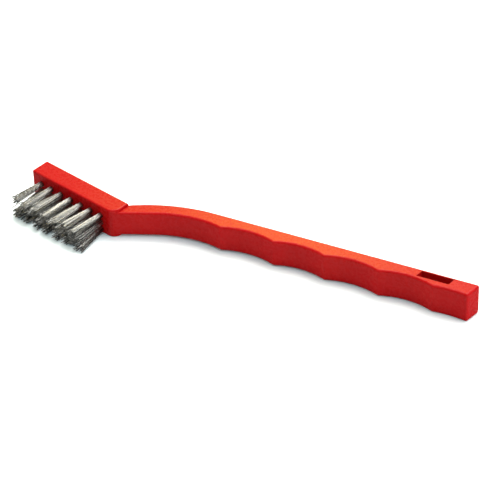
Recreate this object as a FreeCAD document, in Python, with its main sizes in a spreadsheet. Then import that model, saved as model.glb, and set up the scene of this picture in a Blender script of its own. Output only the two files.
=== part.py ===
import FreeCAD, Part
import math
import os
import re
import Sketcher

# A hand wire brush lying on its side: a moulded handle, and three rows of seven wire tufts,
# each held in a blind hole of the head by a flat staple wire. Lengths are millimetres, angles degrees.
#
# X runs along the grip's straight back towards the butt, and -Y is the bristle side.
# Z = 0 is the side face that the brush lies on. The head is turned by head_angle:
# s runs along it from its end, t runs across it from its back, out to the wires' tips.

ROWS = 3
COLUMNS = 7
RIDGES = 5

DIMENSIONS = {
    "origin_x": 90.35,         # frame origin from the head's back corner: the middle of the whole box
    "origin_y": -14.575,
    "length": 184.15,          # from the head's back corner to the butt's, 7 1/4 in
    "head_angle": 15.0,
    "head_rise": 2.1,          # the head's back corner above the line of the grip's back
    "head_length": 44.3,
    "head_depth": 8.25,
    "head_height": 12.7,       # 1/2 in
    "head_round": 0.65,
    "chin_radius": 3.8,
    "neck_x": 43.0,
    "neck_thickness": 10.4,    # at neck_x; the handle swells from there to the head's height at the butt
    "neck_slope": 23.5,        # of the neck's straight edge on the bristle side
    "neck_root": 40.0,         # where the neck's outline starts, inside the head
    "back_radius": 65.0,
    "back_tangent": 75.0,
    "palm_x": 72.0,            # bottom of the hollow between the neck and the first ridge
    "palm_width": 6.3,
    "palm_end_radius": 40.0,
    "ridge_1": 81.1,
    "ridge_2": 103.4,
    "ridge_3": 124.4,
    "ridge_4": 146.5,
    "ridge_5": 168.1,
    "ridge_width": 7.55,       # the grip's width over a ridge
    "ridge_round": 1.2,
    "groove_depth": 2.0,
    "tail_depth": 0.5,         # hollow between the last ridge and the butt
    "butt_width": 7.6,
    "butt_back_round": 0.8,
    "butt_front_round": 0.9,
    "rim_round": 0.85,
    "slot_length": 12.9,
    "slot_width": 3.45,
    "slot_x": 167.4,           # the hang slot's middle
    "slot_y": 2.75,
    "first_tuft": 5.0,
    "tuft_pitch": 5.35,
    "middle_row": 5.1,
    "row_pitch": 3.2,
    "hole_diameter": 2.3,
    "hole_depth": 6.0,
    "tuft_diameter": 2.2,
    "trim": 15.5,              # free length of the wires
    "tip_length": 3.9,         # a tuft's flared tip, along the head and across the rows
    "tip_height": 3.1,
    "column_spread": 0.1,      # how much further apart two tips are than their roots
    "row_spread": 0.1,
    "anchor_length": 3.3,
    "anchor_height": 1.6,
    "anchor_thickness": 0.4,
    "anchor_floor": 0.5,       # the folded wires between the anchor and the hole's bottom
}

doc = FreeCAD.newDocument("WireBrush")
sheet = doc.addObject("Spreadsheet::Sheet", "Dimensions")
for line_number, (alias, number) in enumerate(DIMENSIONS.items(), start=1):
    sheet.set(f"A{line_number}", alias)
    sheet.set(f"B{line_number}", str(number))
    sheet.setAlias(f"B{line_number}", alias)
doc.recompute()


def expand(text):
    """Puts the sheet's name before each alias of an expression."""
    def cell(word):
        return f"Dimensions.{word[0]}" if word[0] in DIMENSIONS else word[0]

    return re.sub(r"[a-z_][a-z_0-9]*", cell, text)


def value(text):
    result = sheet.evalExpression(expand(text))
    return float(getattr(result, "Value", result))


ANGLE = "(head_angle * 1 deg)"
SLOPE = "(neck_slope * 1 deg)"


def head_point(s, t):
    """Expressions for x and y of the point at s along the head and t across it."""
    x = f"({s}) * cos{ANGLE} - ({t}) * sin{ANGLE}"
    y = f"head_rise - ({s}) * sin{ANGLE} - ({t}) * cos{ANGLE}"
    return x, y


# ------------------------------------------------------------------ sketches
def sketch_on(body, name, role, offset=None):
    sketch = body.newObject("Sketcher::SketchObject", name)
    plane = next(item for item in body.Origin.OriginFeatures if item.Role == role)
    sketch.AttachmentSupport = [(plane, "")]
    sketch.MapMode = "FlatFace"
    if offset is not None:
        sketch.AttachmentOffset = offset
    return sketch


def constrain(sketch, kind, text, *where):
    index = sketch.addConstraint(Sketcher.Constraint(kind, *where, value(text)))
    sketch.setExpression(f"Constraints[{index}]", expand(text))


def arc_between(a, b, radius):
    """Short arc from a to b. A positive radius has its centre on the left of the way from a to b."""
    chord = FreeCAD.Vector(b.x - a.x, b.y - a.y, 0)
    side = math.sqrt(radius ** 2 - chord.Length ** 2 / 4) * (1 if radius > 0 else -1)
    left = FreeCAD.Vector(-chord.y, chord.x, 0).normalize()
    centre = (a + b) * 0.5 + left * side
    circle = Part.Circle(centre, FreeCAD.Vector(0, 0, 1), abs(radius))
    start, end = (a, b) if radius > 0 else (b, a)
    angles = [math.atan2(point.y - centre.y, point.x - centre.x) for point in (start, end)]
    return Part.ArcOfCircle(circle, *angles)


def outline(sketch, corners):
    """Closed outline. Each corner is (x, y, radius), as expressions: the radius is that of the arc
    to the next corner, negative where its centre is on the right, and None for a straight edge."""
    points = [FreeCAD.Vector(value(x), value(y), 0) for x, y, radius in corners]
    ends = []
    for number, (x, y, radius) in enumerate(corners):
        a = points[number]
        b = points[(number + 1) % len(points)]
        if radius is None:
            index = sketch.addGeometry(Part.LineSegment(a, b), False)
            ends.append((index, 1, 2))
        else:
            index = sketch.addGeometry(arc_between(a, b, value(radius)), False)
            ends.append((index, 1, 2) if value(radius) > 0 else (index, 2, 1))
            constrain(sketch, "Radius", f"abs({radius})", index)
    for number, (x, y, radius) in enumerate(corners):
        index, start, end = ends[number]
        before, before_start, before_end = ends[number - 1]
        sketch.addConstraint(Sketcher.Constraint("Coincident", before, before_end, index, start))
        constrain(sketch, "DistanceX", x, -1, 1, index, start)
        constrain(sketch, "DistanceY", y, -1, 1, index, start)


def pad(body, name, sketch, length, reverse=False):
    feature = body.newObject("PartDesign::Pad", name)
    feature.Profile = sketch
    feature.Reversed = reverse
    feature.setExpression("Length", expand(length))
    return feature


def pocket(body, name, sketch, length, both_ways=False, reverse=False):
    """Cuts, and checks that the cut points into the body."""
    doc.recompute()
    before = body.Shape.Volume
    feature = body.newObject("PartDesign::Pocket", name)
    feature.Profile = sketch
    feature.Midplane = both_ways
    feature.Reversed = reverse
    feature.setExpression("Length", expand(length))
    doc.recompute()
    if body.Shape.Volume > before - 0.1:
        raise RuntimeError(f"{name} cuts nothing")
    return feature


def fillet(body, name, base, edges, radius):
    feature = body.newObject("PartDesign::Fillet", name)
    feature.Base = (base, edges)
    feature.setExpression("Radius", expand(radius))
    doc.recompute()
    return feature


def edges_where(feature, test):
    return [f"Edge{number}" for number, edge in enumerate(feature.Shape.Edges, start=1) if test(edge)]


def is_upright(edge):
    a, b = edge.Vertexes[0].Point, edge.Vertexes[-1].Point
    return math.hypot(a.x - b.x, a.y - b.y) < 1e-4


# ------------------------------------------------------------------ handle
def grip_corners():
    """Neck and grip seen from above, anticlockwise from the neck's back, inside the head."""
    root_y = "sqrt(back_radius ^ 2 - (back_tangent - neck_root) ^ 2) - back_radius"
    chin_x, chin_y = head_point("head_length - chin_radius", "head_depth - chin_radius")
    touch_x = f"{chin_x} + chin_radius * sin{SLOPE}"
    touch_y = f"{chin_y} - chin_radius * cos{SLOPE}"
    reach = f"(palm_x - ({touch_x})) * sin{SLOPE} + (palm_width + {touch_y}) * cos{SLOPE}"
    palm_radius = f"({reach}) / (1 - cos{SLOPE})"
    corners = [
        ("neck_root", root_y, None),
        (touch_x, touch_y, None),
        (f"palm_x - {palm_radius} * sin{SLOPE}", f"-1 * palm_width - ({reach})", f"-1 * {palm_radius}"),
        ("palm_x", "-1 * palm_width", "-1 * palm_end_radius"),
    ]
    for ridge in range(1, RIDGES):
        chord = f"(ridge_{ridge + 1} - ridge_{ridge})"
        groove = f"-1 * ({chord} ^ 2 / 4 + groove_depth ^ 2) / (2 * groove_depth)"
        corners.append((f"ridge_{ridge}", "-1 * ridge_width", groove))
    tail_end = "(length - butt_width * tan(head_angle * 1 deg))"
    tail = f"({tail_end} - ridge_{RIDGES})"
    tail_radius = f"-1 * ({tail} ^ 2 / 4 + tail_depth ^ 2) / (2 * tail_depth)"
    corners.append((f"ridge_{RIDGES}", "-1 * ridge_width", tail_radius))
    corners.append((tail_end, "-1 * butt_width", None))
    corners.append(("length", "0", None))
    corners.append(("back_tangent", "0", "back_radius"))
    return corners


def head_corners():
    """The head block seen from above, with its rounded chin."""
    return [
        (*head_point("0", "0"), None),
        (*head_point("0", "head_depth"), None),
        (*head_point("head_length - chin_radius", "head_depth"), "chin_radius"),
        (*head_point("head_length", "head_depth - chin_radius"), None),
        (*head_point("head_length", "0"), None),
    ]


def wedge_corners(top):
    """Side view of the material above or below the tapering neck and grip."""
    start = "(neck_root - 5)"
    step = f"((head_height - neck_thickness) / 2 * (length - {start}) / (length - neck_x))"
    if top:
        return [(start, f"head_height - {step}", None), ("length", "head_height", None),
                ("length", "head_height + 1", None), (start, "head_height + 1", None)]
    return [(start, "-1", None), ("length", "-1", None), ("length", "0", None), (start, step, None)]


def tuft_place(row, column):
    """Expressions for s and z of a tuft's hole. Row 1 is the upper one, column 1 is at the head's end."""
    return f"(first_tuft + {column - 1} * tuft_pitch)", f"(middle_row + {2 - row} * row_pitch)"


TUFTS = [(row, column) for row in range(1, ROWS + 1) for column in range(1, COLUMNS + 1)]


def sketch_on_face(body, name, depth):
    """A sketch parallel to the bristle face, depth below it. Its axes are s and Z."""
    x, y = head_point("0", f"head_depth - {depth}")
    sketch = sketch_on(body, name, "XZ_Plane")
    turn = FreeCAD.Rotation(FreeCAD.Vector(0, 1, 0), -value("head_angle"))
    sketch.AttachmentOffset = FreeCAD.Placement(FreeCAD.Vector(0, 0, 0), turn)
    sketch.setExpression("AttachmentOffset.Base.x", expand(x))
    sketch.setExpression("AttachmentOffset.Base.z", expand(f"-1 * ({y})"))
    return sketch


def make_grip(body):
    """Neck and grip, tapering in thickness, with the hang slot and rounded edges."""
    sketch = sketch_on(body, "grip_outline", "XY_Plane")
    outline(sketch, grip_corners())
    pad(body, "grip", sketch, "head_height")
    for name, top in (("taper_top", True), ("taper_bottom", False)):
        sketch = sketch_on(body, f"{name}_wedge", "XZ_Plane")
        outline(sketch, wedge_corners(top))
        pocket(body, name, sketch, "length", both_ways=True)

    sketch = sketch_on(body, "slot_outline", "XY_Plane")
    lean = "(slot_width / 2 * tan(head_angle * 1 deg))"
    front, back = "-1 * slot_y - slot_width / 2", "slot_width / 2 - slot_y"
    outline(sketch, [
        (f"slot_x - slot_length / 2 - {lean}", front, None),
        (f"slot_x + slot_length / 2 - {lean}", front, None),
        (f"slot_x + slot_length / 2 + {lean}", back, None),
        (f"slot_x - slot_length / 2 + {lean}", back, None),
    ])
    slot = pocket(body, "hang_slot", sketch, "head_height", reverse=True)

    def on_ridge(edge):
        x = edge.Vertexes[0].Point.x
        return is_upright(edge) and any(abs(x - value(f"ridge_{number + 1}")) < 0.01 for number in range(RIDGES))

    def at_butt(edge, y):
        point = edge.Vertexes[0].Point
        return is_upright(edge) and point.x > value("length") - 3 and abs(point.y - y) < 0.05

    def on_rim(edge):
        box = edge.BoundBox
        slot_reach = value("slot_length") * 0.6
        slot_front = -value("slot_y + slot_width / 2")
        in_slot = abs(box.Center.x - value("slot_x")) < slot_reach and slot_front - 0.1 < box.YMin < -0.5
        return not is_upright(edge) and not in_slot and box.XMax > value("neck_root") + 1

    ridges = fillet(body, "ridge_rounds", slot, edges_where(slot, on_ridge), "ridge_round")
    back_edges = edges_where(ridges, lambda edge: at_butt(edge, 0))
    butt = fillet(body, "butt_back_corner", ridges, back_edges, "butt_back_round")
    front_edges = edges_where(butt, lambda edge: at_butt(edge, -value("butt_width")))
    butt = fillet(body, "butt_front_corner", butt, front_edges, "butt_front_round")
    fillet(body, "grip_rims", butt, edges_where(butt, on_rim), "rim_round")


def make_head(body):
    """The head block, with rounded edges, the tufts' blind holes and the seats that the anchors cut."""
    sketch = sketch_on(body, "head_outline", "XY_Plane")
    outline(sketch, head_corners())
    head = pad(body, "head", sketch, "head_height")
    doc.recompute()
    height = value("head_height")

    def on_head_rim(edge):
        box = edge.BoundBox
        flat = box.ZLength < 1e-4 and min(abs(box.ZMin), abs(box.ZMin - height)) < 1e-4
        end_corner = is_upright(edge) and box.XMax < 1 and box.ZLength > height - 0.1
        return (flat and box.XMax < value("neck_x")) or end_corner

    fillet(body, "head_rims", head, edges_where(head, on_head_rim), "head_round")

    sketch = sketch_on_face(body, "tuft_hole_circles", "0")
    for row, column in TUFTS:
        s, z = tuft_place(row, column)
        circle = Part.Circle(FreeCAD.Vector(value(s), value(z), 0), FreeCAD.Vector(0, 0, 1), 1)
        index = sketch.addGeometry(circle, False)
        constrain(sketch, "Radius", "hole_diameter / 2", index)
        constrain(sketch, "DistanceX", s, -1, 1, index, 3)
        constrain(sketch, "DistanceY", z, -1, 1, index, 3)
    pocket(body, "tuft_holes", sketch, "hole_depth")

    sketch = sketch_on_face(body, "anchor_seat_outlines", "(hole_depth - anchor_floor - anchor_height)")
    for row, column in TUFTS:
        s, z = tuft_place(row, column)
        left, right = f"{s} - anchor_length / 2", f"{s} + anchor_length / 2"
        low, high = f"{z} - anchor_thickness / 2", f"{z} + anchor_thickness / 2"
        outline(sketch, [(left, low, None), (right, low, None), (right, high, None), (left, high, None)])
    pocket(body, "anchor_seats", sketch, "anchor_height")


def make_handle():
    body = doc.addObject("PartDesign::Body", "handle")
    make_grip(body)
    make_head(body)
    body.setExpression("Placement.Base.x", expand("-1 * origin_x"))
    body.setExpression("Placement.Base.y", expand("-1 * origin_y"))
    return body


# ------------------------------------------------------------------ tufts and anchors
def place(item, s, out, z):
    """Puts an object's origin at s along the head, out from the bristle face, at height z.
    Its own axes then point along the head, up, and out with the wires."""
    x, y = head_point(s, f"head_depth + {out}")
    turn = FreeCAD.Rotation(FreeCAD.Vector(0, 0, 1), -value("head_angle"))
    upright = FreeCAD.Rotation(FreeCAD.Vector(1, 0, 0), 90)
    item.Placement = FreeCAD.Placement(FreeCAD.Vector(0, 0, 0), turn * upright)
    item.setExpression("Placement.Base.x", expand(f"{x} - origin_x"))
    item.setExpression("Placement.Base.y", expand(f"{y} - origin_y"))
    item.setExpression("Placement.Base.z", expand(z))


def anchor_box(name, row, column):
    s, z = tuft_place(row, column)
    box = doc.addObject("Part::Box", name)
    box.setExpression("Length", expand("anchor_length"))
    box.setExpression("Width", expand("anchor_thickness"))
    box.setExpression("Height", expand("anchor_height"))
    place(box, f"{s} - anchor_length / 2", "anchor_floor - hole_depth", f"{z} - anchor_thickness / 2")
    return box


def make_tuft(row, column):
    """One bundle of wires: its folded root in the hole, and the flared free length, around its anchor."""
    name = f"tuft_r{row}_c{column}"
    s, z = tuft_place(row, column)
    sections = []
    for end, out in (("root", "-1 * hole_depth"), ("mouth", "0")):
        circle = doc.addObject("Part::Circle", f"{name}_{end}")
        circle.setExpression("Radius", expand("tuft_diameter / 2"))
        place(circle, s, out, z)
        sections.append(circle)
    tip = doc.addObject("Part::Ellipse", f"{name}_tip")
    tip.setExpression("MajorRadius", expand("tip_length / 2"))
    tip.setExpression("MinorRadius", expand("tip_height / 2"))
    place(tip, f"{s} + {column - 1} * column_spread", "trim", f"{z} + {2 - row} * row_spread")
    sections.append(tip)
    bundle = doc.addObject("Part::Loft", f"{name}_bundle")
    bundle.Sections = sections
    bundle.Solid = True
    bundle.Ruled = True
    tuft = doc.addObject("Part::Cut", name)
    tuft.Base = bundle
    tuft.Tool = anchor_box(f"{name}_anchor_gap", row, column)
    return tuft


def check(parts):
    for item in doc.Objects:
        if "Invalid" in item.State or "Error" in item.State:
            raise RuntimeError(f"{item.Name} failed: {item.State}")
    for item in parts:
        if item.Shape.isNull() or not item.Shape.isValid() or len(item.Shape.Solids) != 1:
            raise RuntimeError(f"{item.Label} isn't one valid solid")


parts = [make_handle()]
for row, column in TUFTS:
    parts.append(make_tuft(row, column))
    parts.append(anchor_box(f"anchor_r{row}_c{column}", row, column))
doc.recompute()
for item in parts:
    item.Label = item.Name
check(parts)

os.makedirs("parts", exist_ok=True)
for item in parts:
    item.Shape.exportStep(f"parts/{item.Label}.step")
whole = Part.makeCompound([item.Shape for item in parts]).optimalBoundingBox()
print(f"{len(parts)} parts, X {whole.XMin:.2f} to {whole.XMax:.2f}, Y {whole.YMin:.2f} to {whole.YMax:.2f},"
      f" Z {whole.ZMin:.2f} to {whole.ZMax:.2f}")
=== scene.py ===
import math

import bpy
import numpy as np
from mathutils import Matrix, Vector


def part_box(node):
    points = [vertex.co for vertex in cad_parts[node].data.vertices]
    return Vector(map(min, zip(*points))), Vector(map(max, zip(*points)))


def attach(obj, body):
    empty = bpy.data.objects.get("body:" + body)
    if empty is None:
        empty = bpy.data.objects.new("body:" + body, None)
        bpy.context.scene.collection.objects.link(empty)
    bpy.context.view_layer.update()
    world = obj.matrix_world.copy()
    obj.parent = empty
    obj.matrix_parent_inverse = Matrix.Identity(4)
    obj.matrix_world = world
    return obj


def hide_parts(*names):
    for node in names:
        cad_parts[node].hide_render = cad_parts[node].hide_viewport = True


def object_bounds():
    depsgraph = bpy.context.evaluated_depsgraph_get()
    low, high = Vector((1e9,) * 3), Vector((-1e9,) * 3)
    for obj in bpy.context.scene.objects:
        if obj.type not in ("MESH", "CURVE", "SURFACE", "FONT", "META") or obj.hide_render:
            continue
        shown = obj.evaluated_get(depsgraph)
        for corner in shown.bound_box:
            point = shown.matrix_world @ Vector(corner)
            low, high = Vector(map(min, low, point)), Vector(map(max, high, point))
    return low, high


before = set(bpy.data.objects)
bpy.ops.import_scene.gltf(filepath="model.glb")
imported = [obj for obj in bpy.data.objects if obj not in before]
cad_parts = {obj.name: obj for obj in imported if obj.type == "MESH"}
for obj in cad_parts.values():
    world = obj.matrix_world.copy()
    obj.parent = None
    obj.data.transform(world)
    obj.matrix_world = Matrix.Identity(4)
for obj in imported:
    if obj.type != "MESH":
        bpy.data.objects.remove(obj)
cad_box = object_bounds()

# A hand wire brush lying on its side on a white floor. Metres, in the CAD model's frame:
# X runs along the grip towards the butt, -Y is the wires' side, Z = 0 is the floor.

MM = 0.001
ROWS = 3
COLUMNS = 7

# ------------------------------------------------------------------ what the CAD model holds
ANCHOR_DEPTH = 4.7 * MM        # middle of an anchor below the bristle face
ANCHOR_HALF_THICKNESS = 0.2 * MM
HOLE_DEPTH = 6.0 * MM
HOLE_RADIUS = 1.15 * MM
TRIM = 15.5 * MM               # free length of the wires

# ------------------------------------------------------------------ wires
WIRE_RADIUS = 0.15 * MM
WIRES_PER_TUFT = 18            # each folded round the anchor, so twice as many ends
WIRE_SIDES = 8
LEG_STEPS = 40                 # points along the free length
FLARE = {1: 1.3, 2: 1.5, 3: 1.95}    # widening of a tuft's tip along the head, by row
UP_FLARE_LIMIT = 1.5           # the tip widens upwards no more than this
BEND_POWER = 1.2               # 1 leans straight from the root, more bends nearer the tip
LENGTH_SPREAD = 0.06
SHORT_SHARE = 0.12             # wires broken or cut short, and how much of them is left
SHORT_LENGTH = (0.78, 0.92)
STRAY_SHARE = 0.09             # wires bent well out of their tuft
STRAY_ALONG = 0.9 * MM
STRAY_UP = 0.7 * MM
SCATTER_ALONG = 0.24 * MM      # how far each tip scatters round its place
SCATTER_UP = 0.18 * MM
CRIMP = (0.05, 0.11)           # height and pitch of the waves in a wire, in mm
CRIMP_PITCH = (1.7, 2.5)
END_SLANT = 0.6                # steepest slant of a cut end

# How far each tuft's tip stands off its straight place, in mm: along the head, and up.
LEAN = {
    1: (0.2, -0.7, -0.6, -0.9, -0.8, -0.1, -0.7),
    2: (1.6, 0.3, -0.4, 0.4, 0.0, 0.5, 0.3),
    3: (-0.3, -0.4, 0.2, -0.3, 0.4, 0.6, 1.2),
}
RISE = {
    1: (0.7, -0.9, -0.4, -0.9, -0.5, 0.2, -0.7),
    2: (-1.6, -0.1, 0.2, -0.3, 0.1, -0.1, -0.3),
    3: (0.0, 0.1, 0.2, 0.0, 0.1, 0.0, 0.0),
}
# How much wider along the head the worn tufts' tips are spread, in mm each way.
SPLAY = {(3, 7): 1.2, (3, 6): 0.6, (2, 7): 0.5, (1, 6): 0.4, (1, 5): 0.4}


def centre(node):
    low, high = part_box(node)
    return (np.array(low) + np.array(high)) / 2


def unit(vector):
    return vector / np.linalg.norm(vector)


# Along the head towards the grip, out of the bristle face, and up.
HEAD_WAY = unit((centre("anchor_r1_c7") - centre("anchor_r1_c1")) * (1, 1, 0))
OUT_WAY = np.array([HEAD_WAY[1], -HEAD_WAY[0], 0.0])
UP_WAY = np.array([0.0, 0.0, 1.0])


# ------------------------------------------------------------------ colours
RED_DEEP = (0.365, 0.0016, 0.0034)
RED_LIGHT = (0.385, 0.0028, 0.0038)
RED_WARM = (0.375, 0.0040, 0.0038)
STEEL_DARK = (0.116, 0.117, 0.113)
STEEL_BRIGHT = (0.535, 0.54, 0.525)
GRIME = (0.07, 0.065, 0.055)
ANCHOR_DARK = (0.42, 0.42, 0.42)
ANCHOR_BRIGHT = (0.60, 0.59, 0.57)
FLOOR_WHITE = (0.88, 0.93, 0.94)
FLOOR_IN_GLOSS = (0.15, 0.15, 0.16, 1)
ROOM = (0.86, 0.95, 1.0, 1)
WARM_GLOW = (1.0, 0.72, 0.16, 1)


# ------------------------------------------------------------------ node materials
class Shader:
    """A material's node tree, with short calls for what the materials here use."""

    def __init__(self, name):
        self.material = bpy.data.materials.new(name)
        self.material.use_nodes = True
        self.tree = self.material.node_tree
        self.tree.nodes.clear()
        self.output = self.node("ShaderNodeOutputMaterial")
        self.surface = self.node("ShaderNodeBsdfPrincipled")
        self.link(self.surface.outputs["BSDF"], self.output.inputs["Surface"])
        self.place = self.node("ShaderNodeTexCoord").outputs["Object"]

    def node(self, kind, **values):
        made = self.tree.nodes.new(kind)
        for name, number in values.items():
            setattr(made, name, number)
        return made

    def link(self, source, target):
        self.tree.links.new(source, target)

    def stretched(self, scale):
        """The object's own coordinates, multiplied by scale."""
        mapping = self.node("ShaderNodeMapping")
        mapping.inputs["Scale"].default_value = scale
        self.link(self.place, mapping.inputs["Vector"])
        return mapping.outputs["Vector"]

    def noise(self, scale, detail=4.0, stretch=(1, 1, 1), roughness=0.5):
        texture = self.node("ShaderNodeTexNoise")
        texture.inputs["Scale"].default_value = scale
        texture.inputs["Detail"].default_value = detail
        texture.inputs["Roughness"].default_value = roughness
        self.link(self.stretched(stretch), texture.inputs["Vector"])
        return texture.outputs["Fac"]

    def ramp(self, source, low, high, start=0.0, end=1.0):
        """Maps low..high of source to start..end."""
        spread = self.node("ShaderNodeMapRange")
        spread.inputs["From Min"].default_value = low
        spread.inputs["From Max"].default_value = high
        spread.inputs["To Min"].default_value = start
        spread.inputs["To Max"].default_value = end
        self.link(source, spread.inputs["Value"])
        return spread.outputs["Result"]

    def mix(self, factor, first, second):
        """Colour between first and second; each may be a colour or a socket."""
        blend = self.node("ShaderNodeMix", data_type="RGBA")
        self.link(factor, blend.inputs["Factor"])
        for number, colour in ((6, first), (7, second)):
            if isinstance(colour, tuple):
                blend.inputs[number].default_value = (*colour, 1)
            else:
                self.link(colour, blend.inputs[number])
        return blend.outputs[2]

    def bump(self, height, distance, strength=1.0, before=None):
        made = self.node("ShaderNodeBump")
        made.inputs["Distance"].default_value = distance
        made.inputs["Strength"].default_value = strength
        self.link(height, made.inputs["Height"])
        if before is not None:
            self.link(before, made.inputs["Normal"])
        return made.outputs["Normal"]

    def set(self, **values):
        for name, number in values.items():
            socket = self.surface.inputs[name.replace("_", " ")]
            if hasattr(number, "is_output"):
                self.link(number, socket)
            elif isinstance(number, tuple):
                socket.default_value = (*number, 1)
            else:
                socket.default_value = number


def red_plastic():
    """Moulded red plastic: faint flow lines along the grip, and a slightly uneven, rubbed skin."""
    shader = Shader("red_plastic")
    flow = shader.noise(scale=60, detail=5, stretch=(0.5, 9, 9))
    cloud = shader.noise(scale=45, detail=3)
    rubbed = shader.noise(scale=700, detail=3, roughness=0.6)
    base = shader.mix(shader.ramp(flow, 0.3, 0.7), RED_DEEP, RED_LIGHT)
    colour = shader.mix(shader.ramp(cloud, 0.35, 0.75), base, RED_WARM)
    shader.set(Base_Color=colour, Roughness=shader.ramp(rubbed, 0.3, 0.7, start=0.25, end=0.30))
    shader.surface.inputs["IOR"].default_value = 1.46
    shader.surface.inputs["Specular IOR Level"].default_value = 0.15
    skin = shader.bump(shader.noise(scale=1800, detail=2), distance=0.0012 * MM)
    swell = shader.noise(scale=160, detail=2, stretch=(0.4, 1, 1))
    waves = shader.bump(swell, distance=0.02 * MM, before=skin)
    shader.set(Normal=waves)
    return shader.material


def wire_steel():
    """Drawn steel wire: each wire has a tone of its own, with long draw marks and a little grime."""
    shader = Shader("wire_steel")
    tone = shader.node("ShaderNodeAttribute", attribute_name="tone").outputs["Fac"]
    marks = shader.noise(scale=1500, detail=3)
    clean = shader.mix(tone, STEEL_DARK, STEEL_BRIGHT)
    colour = shader.mix(shader.ramp(marks, 0.50, 0.78, start=0.0, end=0.55), clean, GRIME)
    roughness = shader.ramp(marks, 0.3, 0.7, start=0.26, end=0.40)
    shader.set(Base_Color=colour, Metallic=1.0, Roughness=roughness)
    shader.set(Normal=shader.bump(shader.noise(scale=6000, detail=1), distance=0.006 * MM))
    return shader.material


def anchor_steel():
    """Plain flat wire with scuffs from the setting tool."""
    shader = Shader("anchor_steel")
    scuffs = shader.noise(scale=2500, detail=4, stretch=(1, 4, 1))
    colour = shader.mix(shader.ramp(scuffs, 0.35, 0.65), ANCHOR_DARK, ANCHOR_BRIGHT)
    roughness = shader.ramp(scuffs, 0.3, 0.7, start=0.30, end=0.50)
    shader.set(Base_Color=colour, Metallic=1.0, Roughness=roughness)
    shader.set(Normal=shader.bump(scuffs, distance=0.01 * MM))
    return shader.material


def floor_paint():
    """White floor; glossy rays see it as a dark grey sheet instead, a painted dark reflection on the
    object's gloss.
    """
    shader = Shader("floor_white")
    shader.set(Base_Color=FLOOR_WHITE, Roughness=0.65)
    shader.surface.inputs["Specular IOR Level"].default_value = 0.2
    # painted dark reflection: what the object's gloss shows of the floor
    dark = shader.node("ShaderNodeBsdfDiffuse")
    dark.inputs["Color"].default_value = FLOOR_IN_GLOSS
    choice = shader.node("ShaderNodeMixShader")
    shader.link(shader.node("ShaderNodeLightPath").outputs["Is Glossy Ray"], choice.inputs["Fac"])
    shader.link(shader.surface.outputs["BSDF"], choice.inputs[1])
    shader.link(dark.outputs["BSDF"], choice.inputs[2])
    shader.link(choice.outputs["Shader"], shader.output.inputs["Surface"])
    return shader.material


# ------------------------------------------------------------------ camera, floor and light
CAMERA_TARGET = Vector((4.165 * MM, 5.595 * MM, 6.35 * MM))
CAMERA_AZIMUTH = 27.64         # degrees, from -Y towards +X
CAMERA_ELEVATION = 37.62
CAMERA_ROLL = -1.89
CAMERA_DISTANCE = 0.9083
CAMERA_LENS = 173.4
SENSOR_WIDTH = 36

# Places and sizes in metres, powers in watts.
LAMPS = {
    "key": {
        "place": (0.05, 0.38, 0.85), "target": (0, 0, 0), "size": (0.9, 0.7), "power": 14.8,
        "colour": (1, 0.98, 0.92),
    },
    "front": {
        "place": (0.10, -0.55, 0.80), "target": (0, 0, 0), "size": (1.1, 0.7), "power": 4.7,
        "colour": (0.76, 0.96, 1), "gloss": False,
    },
    "left": {
        "place": (-0.9, 0.05, 0.45), "target": (-0.05, 0, 0), "size": (0.5, 0.5), "power": 4.6,
        "colour": (1, 0.85, 0.6),
    },
    "right": {
        "place": (0.95, 0.10, 0.35), "target": (0.05, 0, 0), "size": (0.5, 0.5), "power": 5.5,
        "gloss": False,
    },
}


def make_camera():
    azimuth = math.radians(CAMERA_AZIMUTH)
    elevation = math.radians(CAMERA_ELEVATION)
    roll = math.radians(CAMERA_ROLL)
    level = math.cos(elevation)
    back = Vector((math.sin(azimuth) * level, -math.cos(azimuth) * level, math.sin(elevation)))
    right = (-back).cross(Vector((0, 0, 1))).normalized()
    up = right.cross(-back)
    turned_right = math.cos(roll) * right + math.sin(roll) * up
    turned_up = math.cos(roll) * up - math.sin(roll) * right
    data = bpy.data.cameras.new("camera")
    data.lens = CAMERA_LENS
    data.sensor_width = SENSOR_WIDTH
    data.clip_start = 0.01
    data.clip_end = 20
    camera = bpy.data.objects.new("camera", data)
    bpy.context.scene.collection.objects.link(camera)
    turn = Matrix((turned_right, turned_up, back)).transposed().to_4x4()
    camera.matrix_world = Matrix.Translation(CAMERA_TARGET + back * CAMERA_DISTANCE) @ turn
    bpy.context.scene.camera = camera


def area_light(name, place, target, size, power, colour=(1, 1, 1), gloss=True):
    """A rectangular lamp at place that faces target; without gloss it isn't seen in reflections."""
    data = bpy.data.lights.new(name, "AREA")
    data.shape = "RECTANGLE"
    data.size = size[0]
    data.size_y = size[1]
    data.energy = power
    data.color = colour
    light = bpy.data.objects.new(name, data)
    bpy.context.scene.collection.objects.link(light)
    light.visible_glossy = gloss
    light.location = place
    light.rotation_euler = (Vector(target) - Vector(place)).to_track_quat("-Z", "Y").to_euler()


def make_world():
    """Soft room light, brighter behind the object than in front of it."""
    world = bpy.data.worlds.new("room")
    world.use_nodes = True
    tree = world.node_tree
    tree.nodes.clear()
    output = tree.nodes.new("ShaderNodeOutputWorld")
    background = tree.nodes.new("ShaderNodeBackground")
    background.inputs["Color"].default_value = ROOM
    way = tree.nodes.new("ShaderNodeTexCoord")
    split = tree.nodes.new("ShaderNodeSeparateXYZ")
    spread = tree.nodes.new("ShaderNodeMapRange")
    spread.inputs["From Min"].default_value = -0.5
    spread.inputs["From Max"].default_value = 0.6
    spread.inputs["To Min"].default_value = 0.22
    spread.inputs["To Max"].default_value = 0.45
    tree.links.new(way.outputs["Generated"], split.inputs["Vector"])
    tree.links.new(split.outputs["Y"], spread.inputs["Value"])
    tree.links.new(spread.outputs["Result"], background.inputs["Strength"])
    tree.links.new(background.outputs["Background"], output.inputs["Surface"])
    bpy.context.scene.world = world


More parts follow.
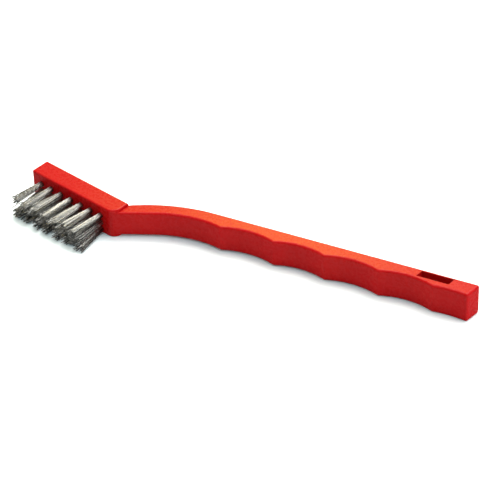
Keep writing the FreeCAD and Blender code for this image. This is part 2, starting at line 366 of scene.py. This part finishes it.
def sheet(name, corners, material):
    """A flat sheet with four corners."""
    mesh = bpy.data.meshes.new(name)
    mesh.from_pydata(corners, [], [(0, 1, 2, 3)])
    mesh.materials.append(material)
    made = bpy.data.objects.new(name, mesh)
    bpy.context.scene.collection.objects.link(made)
    return made


def make_floor():
    half = 3.0
    corners = [(-half, -half, 0), (half, -half, 0), (half, half, 0), (-half, half, 0)]
    floor = sheet("floor", corners, floor_paint())


def make_warm_card():
    """A warm reflector behind the object, which only shows as gloss on its upper faces."""
    low = 0.38
    high = 0.74
    left = -0.37
    right = -0.21
    back = 0.6
    shader = Shader("warm_glow")
    glow = shader.node("ShaderNodeEmission")
    glow.inputs["Color"].default_value = WARM_GLOW
    glow.inputs["Strength"].default_value = 14.0
    shader.link(glow.outputs["Emission"], shader.output.inputs["Surface"])
    corners = [(left, back, low), (right, back, low), (right, back, high), (left, back, high)]
    card = sheet("warm_card", corners, shader.material)
    card.visible_camera = False
    card.visible_diffuse = False
    card.visible_shadow = False


def make_studio():
    make_warm_card()
    make_world()
    make_floor()
    for name, lamp in LAMPS.items():
        area_light(name, **lamp)
    bpy.context.scene.view_settings.view_transform = "Standard"
    bpy.context.scene.view_settings.look = "None"


# ------------------------------------------------------------------ wires
def spread_points(chance, count):
    """Places for wires in one half of the hole: random points that push each other apart."""
    reach = HOLE_RADIUS - WIRE_RADIUS
    floor = ANCHOR_HALF_THICKNESS + WIRE_RADIUS
    apart = 2.05 * WIRE_RADIUS
    rounds = 160
    share_of_push = 0.35
    along = chance.uniform(-0.8, 0.8, count) * reach
    above = chance.uniform(0.35, 0.9, count) * reach
    points = np.stack([along, above], 1)
    for _ in range(rounds):
        gap = points[:, None] - points[None]
        distance = np.linalg.norm(gap, axis=2) + np.eye(count)
        push = np.clip(apart - distance, 0, None) / distance
        points += (gap * push[..., None]).sum(1) * share_of_push
        points[:, 1] = np.maximum(points[:, 1], floor)
        radius = np.linalg.norm(points, axis=1)
        points *= np.minimum(1, reach / radius)[:, None]
    return points


def leg(chance, root, side, flare, lean, rise, splay):
    """Centre line of one leg from the fold to its cut end, in (along, up, out) from the bristle face."""
    along = root[0]
    up = root[1] * side
    length = TRIM * (1 - abs(chance.normal(0, LENGTH_SPREAD)))
    if chance.random() < SHORT_SHARE:
        length *= chance.uniform(*SHORT_LENGTH)
    tip_along = along * (flare + splay / HOLE_RADIUS) + lean + chance.normal(0, SCATTER_ALONG)
    tip_up = up * min(flare, UP_FLARE_LIMIT) + rise + chance.normal(0, SCATTER_UP)
    if chance.random() < STRAY_SHARE:
        tip_along += chance.normal(0, STRAY_ALONG)
        tip_up += abs(chance.normal(0, STRAY_UP))
    crimp = chance.uniform(*CRIMP) * MM
    pitch = chance.uniform(*CRIMP_PITCH) * MM
    phases = chance.uniform(0, 2 * math.pi, 2)
    # Straight in the hole, then bending and waving; the waves grow over the first quarter.
    points = [(along, up, out) for out in np.linspace(-HOLE_DEPTH * 0.72, -0.2 * MM, 3)]
    for share in np.linspace(0, 1, LEG_STEPS)[1:]:
        bend = share ** BEND_POWER
        out = share * length
        waves = np.sin(2 * math.pi * out / pitch + phases) * crimp * min(1, share * 4)
        place_along = along + (tip_along - along) * bend + waves[0]
        place_up = up + (tip_up - up) * bend + waves[1]
        points.append((place_along, place_up, out))
    return points


def folded_wire(chance, upper, lower, depth, *tip):
    """A whole wire: one leg, the fold under the anchor, the other leg."""
    first = leg(chance, upper, 1, *tip)
    second = leg(chance, lower, -1, *tip)
    top = first[0]
    bottom = second[0]
    fold = []
    for angle in np.linspace(0, math.pi, 7)[1:-1]:
        share = (1 - math.cos(angle)) / 2
        along = top[0] + (bottom[0] - top[0]) * share
        up = top[1] + (bottom[1] - top[1]) * share
        fold.append((along, up, top[2] - (top[2] + depth) * math.sin(angle)))
    return np.array(first[::-1] + fold + second)


def tube(points, radius, tilt):
    """Vertices and faces of a round wire along points, with a slanting cut at each end."""
    ways = np.gradient(points, axis=0)
    ways /= np.linalg.norm(ways, axis=1)[:, None]
    off_axis = (0.31, 0.17, 0.93)
    across = unit(np.cross(ways[0], off_axis))
    angles = np.arange(WIRE_SIDES) * 2 * math.pi / WIRE_SIDES
    rings = []
    for place, way in zip(points, ways):
        across = unit(across - way * (across @ way))
        other = np.cross(way, across)
        around = np.outer(np.cos(angles), across) + np.outer(np.sin(angles), other)
        rings.append(place + radius * around)
    rings = np.array(rings)
    slant = np.cos(angles)[:, None] * radius * tilt
    rings[0] -= slant * ways[0]
    rings[-1] += slant * ways[-1]
    vertices = np.concatenate([rings.reshape(-1, 3), points[:1], points[-1:]])
    last = len(points) - 1
    faces = []
    for side in range(WIRE_SIDES):
        after = (side + 1) % WIRE_SIDES
        for ring in range(last):
            low = ring * WIRE_SIDES
            high = low + WIRE_SIDES
            faces.append((low + side, low + after, high + after, high + side))
        faces.append((after, side, len(vertices) - 2))
        faces.append((last * WIRE_SIDES + side, last * WIRE_SIDES + after, len(vertices) - 1))
    return vertices, faces


def inside_box(points):
    """Keeps a wire in the CAD model's box: off the floor, and no longer than the box allows."""
    margin = WIRE_RADIUS * 1.1
    low, high = (np.array(corner) for corner in cad_box)
    points[:, 2] = np.clip(points[:, 2], low[2] + margin, high[2] - margin)
    points[:, 0] = np.maximum(points[:, 0], low[0] + margin)
    points[:, 1] = np.maximum(points[:, 1], low[1] + margin)
    return points


def make_tuft(row, column, material):
    chance = np.random.default_rng(1000 * row + column)
    face = centre(f"anchor_r{row}_c{column}") + OUT_WAY * ANCHOR_DEPTH
    bend = (LEAN[row][column - 1] * MM, RISE[row][column - 1] * MM, SPLAY.get((row, column), 0) * MM)
    upper = spread_points(chance, WIRES_PER_TUFT)
    lower = spread_points(chance, WIRES_PER_TUFT)
    upper = upper[np.argsort(upper[:, 0])]
    lower = lower[np.argsort(lower[:, 0])]
    vertices = []
    faces = []
    tones = []
    for number in range(WIRES_PER_TUFT):
        # Every second fold lies most of a wire's thickness nearer the face, beside its neighbours.
        depth = HOLE_DEPTH - WIRE_RADIUS * (1.2 + 1.6 * (number % 2))
        local = folded_wire(chance, upper[number], lower[number], depth, FLARE[row], *bend)
        points = face + local[:, :1] * HEAD_WAY + local[:, 1:2] * UP_WAY + local[:, 2:] * OUT_WAY
        slant = chance.uniform(-END_SLANT, END_SLANT)
        wire_points, wire_faces = tube(inside_box(points), WIRE_RADIUS, slant)
        start = sum(len(block) for block in vertices)
        vertices.append(wire_points)
        faces += [tuple(start + index for index in corners) for corners in wire_faces]
        tones.append(np.full(len(wire_points), chance.random()))
    mesh = bpy.data.meshes.new(f"wires_r{row}_c{column}")
    mesh.from_pydata(np.concatenate(vertices).tolist(), [], faces)
    mesh.polygons.foreach_set("use_smooth", [True] * len(mesh.polygons))
    tone = mesh.attributes.new("tone", "FLOAT", "POINT")
    tone.data.foreach_set("value", np.concatenate(tones))
    mesh.materials.append(material)
    mesh.update()
    piece = bpy.data.objects.new(f"wires_r{row}_c{column}", mesh)
    bpy.context.scene.collection.objects.link(piece)
    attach(piece, "root")
    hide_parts(f"tuft_r{row}_c{column}")


def repaint(node, material):
    """Gives a CAD piece its material, and leaves its shape alone."""
    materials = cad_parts[node].data.materials
    materials.clear()
    materials.append(material)


make_camera()
make_studio()
repaint("handle", red_plastic())
anchor_material = anchor_steel()
wire_material = wire_steel()
for tuft_row in range(1, ROWS + 1):
    for tuft_column in range(1, COLUMNS + 1):
        repaint(f"anchor_r{tuft_row}_c{tuft_column}", anchor_material)
        make_tuft(tuft_row, tuft_column, wire_material)
